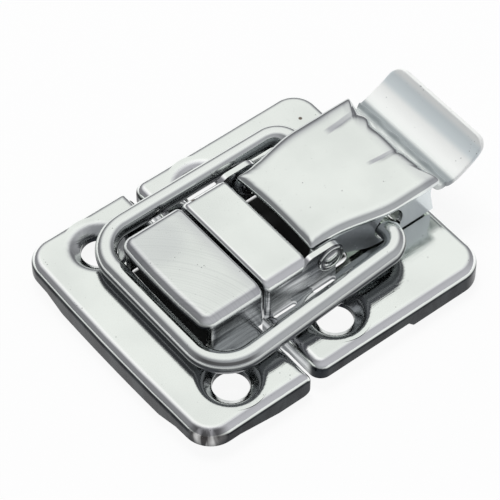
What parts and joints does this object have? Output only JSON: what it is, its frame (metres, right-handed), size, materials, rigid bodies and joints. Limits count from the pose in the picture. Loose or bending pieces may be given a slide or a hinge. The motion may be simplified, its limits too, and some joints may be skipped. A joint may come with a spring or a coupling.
{
  "type": "toggle latch",
  "caption": "Closed toggle latch of bright plated steel: catch plate with a hook box, base plate with ears, over-centre lever with a curled thumb tab, and a wire bail.",
  "frame": {"origin": "middle of the closed latch's outer box, on the mounting surface under both plates' rims", "axes": "+X from the catch plate towards the thumb tab, +Z away from the mounting surface, +Y along the lever's pivot"},
  "size_m": [0.0574, 0.0404, 0.0115],
  "materials": {
    "plated_sheet": "bright nickel plating on pressed steel sheet, mirror-like with fine brush marks",
    "plated_rivet": "bright nickel plating",
    "plated_wire": "bright nickel plating on round steel wire"
  },
  "bodies": {
    "base": {"base_plate": "plated_sheet", "catch_plate": "plated_sheet", "pivot_rivet_front": "plated_rivet", "pivot_rivet_back": "plated_rivet"},
    "lever": {"lever_body": "plated_sheet", "lever_cover": "plated_sheet"},
    "bail": {"wire_bail": "plated_wire"}
  },
  "joints": [
    {"name": "lever_pivot", "type": "hinge", "parent": "base", "child": "lever", "pos_m": [0.00108, 0, 0.0081], "axis": [0, -1, 0], "range_deg": [0, 95]},
    {"name": "bail_pivot", "type": "hinge", "parent": "lever", "child": "bail", "pos_m": [0.01073, 0, 0.007], "axis": [0, -1, 0], "range_deg": [-76, 0]}
  ],
  "couplings": [
    {"joint": "bail_pivot", "follows": "lever_pivot", "ratio": -0.8}
  ]
}
